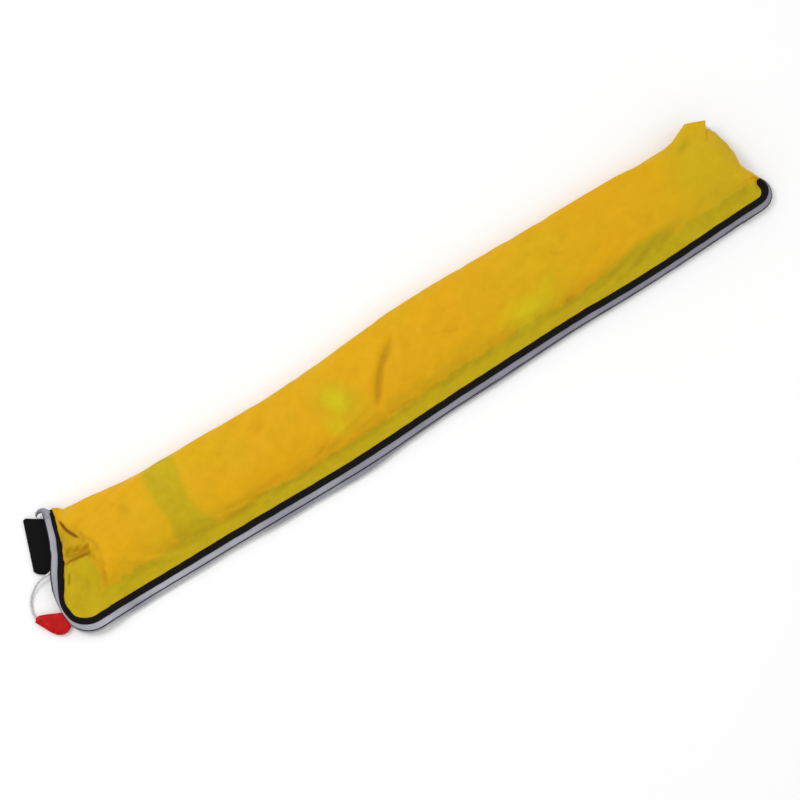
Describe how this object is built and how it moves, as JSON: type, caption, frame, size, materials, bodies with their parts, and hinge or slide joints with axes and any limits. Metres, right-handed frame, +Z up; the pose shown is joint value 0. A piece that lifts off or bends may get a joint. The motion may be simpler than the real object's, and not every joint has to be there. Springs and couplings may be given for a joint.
{
  "type": "inflatable life jacket",
  "caption": "Inflatable belt-pack life jacket packed flat: zipped nylon pouch with folded bladder, manual CO2 inflator, oral tube, webbing belt with buckle, pull cord and toggle",
  "frame": {"origin": "on the surface that the pack lies on, under the middle of the pack's outline without the pull cord and toggle", "axes": "+X along the pouch towards the end without the toggle, -Y towards the long zip edge, +Y towards the fold, +Z up out of the front cover"},
  "size_m": [0.922, 0.1588, 0.0376],
  "materials": {
    "yellow_nylon": "satin",
    "orange_bladder": "satin",
    "black_binding": "matt",
    "reflective_tape": "satin",
    "zip_coil": "satin",
    "black_webbing": "matt",
    "black_plastic": "satin",
    "red_plastic": "gloss",
    "green_plastic": "gloss",
    "white_cord": "satin",
    "steel": "brushed",
    "rubber": "matt"
  },
  "bodies": {
    "pack": {"cover_back": "yellow_nylon", "binding_back": "black_binding", "zip_tape_back": "reflective_tape", "zip_coil_back": "zip_coil", "bladder": "orange_bladder", "belt_webbing": "black_webbing", "keeper_left": "black_webbing", "keeper_right": "black_webbing", "buckle_latch": "black_plastic", "inflator_body": "black_plastic", "lever_pivot_pin": "steel", "firing_spring": "steel", "cylinder_seal": "rubber", "manifold_stem": "steel", "gasket_lower": "rubber", "gasket_upper": "rubber", "oral_tube_flange": "rubber", "oral_tube": "rubber", "oral_valve_body": "black_plastic"},
    "cover_lid": {"cover_front": "yellow_nylon", "binding_front": "black_binding", "zip_tape_front": "reflective_tape", "zip_coil_front": "zip_coil"},
    "slider": {"zip_slider": "steel"},
    "slider_pull": {"zip_pull": "steel"},
    "toggle": {"pull_cord": "white_cord", "pull_toggle": "red_plastic"},
    "lever": {"inflator_lever": "black_plastic"},
    "pin": {"firing_pin": "steel"},
    "cylinder": {"co2_cylinder": "steel"},
    "nut": {"cap_nut": "black_plastic"},
    "clip": {"status_clip": "green_plastic"},
    "plunger": {"oral_valve_plunger": "red_plastic"},
    "dust_cap": {"oral_dust_cap": "black_plastic"},
    "tongue": {"buckle_tongue": "black_plastic"}
  },
  "joints": [
    {"name": "cover_hinge", "type": "hinge", "parent": "pack", "child": "cover_lid", "pos_m": [0, 0.06, 0.01], "axis": [-1, 0, 0], "range_deg": [0, 120]},
    {"name": "slider_slide", "type": "slide", "parent": "pack", "child": "slider", "axis": [0.2425, -0.9701, 0], "range_m": [0, 0.06]},
    {"name": "slider_pull_hinge", "type": "hinge", "parent": "slider", "child": "slider_pull", "pos_m": [0.42669, 0.04625, 0.01], "axis": [0, 0, 1], "range_deg": [0, 110]},
    {"name": "toggle_pull", "type": "slide", "parent": "pack", "child": "toggle", "axis": [-0.9659, -0.2588, 0], "range_m": [0, 0.036]},
    {"name": "lever_hinge", "type": "hinge", "parent": "pack", "child": "lever", "pos_m": [-0.378, 0.007, 0.021], "axis": [0, 0, 1], "range_deg": [0, 80]},
    {"name": "pin_slide", "type": "slide", "parent": "pack", "child": "pin", "axis": [1, 0, 0], "range_m": [0, 0.006]},
    {"name": "cylinder_spin", "type": "hinge", "parent": "pack", "child": "cylinder", "pos_m": [-0.325, 0.007, 0.021], "axis": [1, 0, 0], "continuous": true},
    {"name": "nut_spin", "type": "hinge", "parent": "pack", "child": "nut", "pos_m": [-0.354, 0.023, 0.031], "axis": [0, 0, 1], "continuous": true},
    {"name": "clip_slide", "type": "slide", "parent": "pack", "child": "clip", "axis": [0, -1, 0], "range_m": [0, 0.007]},
    {"name": "plunger_press", "type": "slide", "parent": "pack", "child": "plunger", "axis": [1, 0, 0], "range_m": [0, 0.0035], "stiffness_N_per_m": 200},
    {"name": "dust_cap_slide", "type": "slide", "parent": "pack", "child": "dust_cap", "axis": [-1, 0, 0], "range_m": [0, 0.012]},
    {"name": "tongue_slide", "type": "slide", "parent": "pack", "child": "tongue", "axis": [1, 0, 0], "range_m": [0, 0.04]}
  ],
  "couplings": [
    {"joint": "lever_hinge", "follows": "toggle_pull", "rad_per_m": 38.78},
    {"joint": "pin_slide", "follows": "toggle_pull", "ratio": 0.1666}
  ]
}
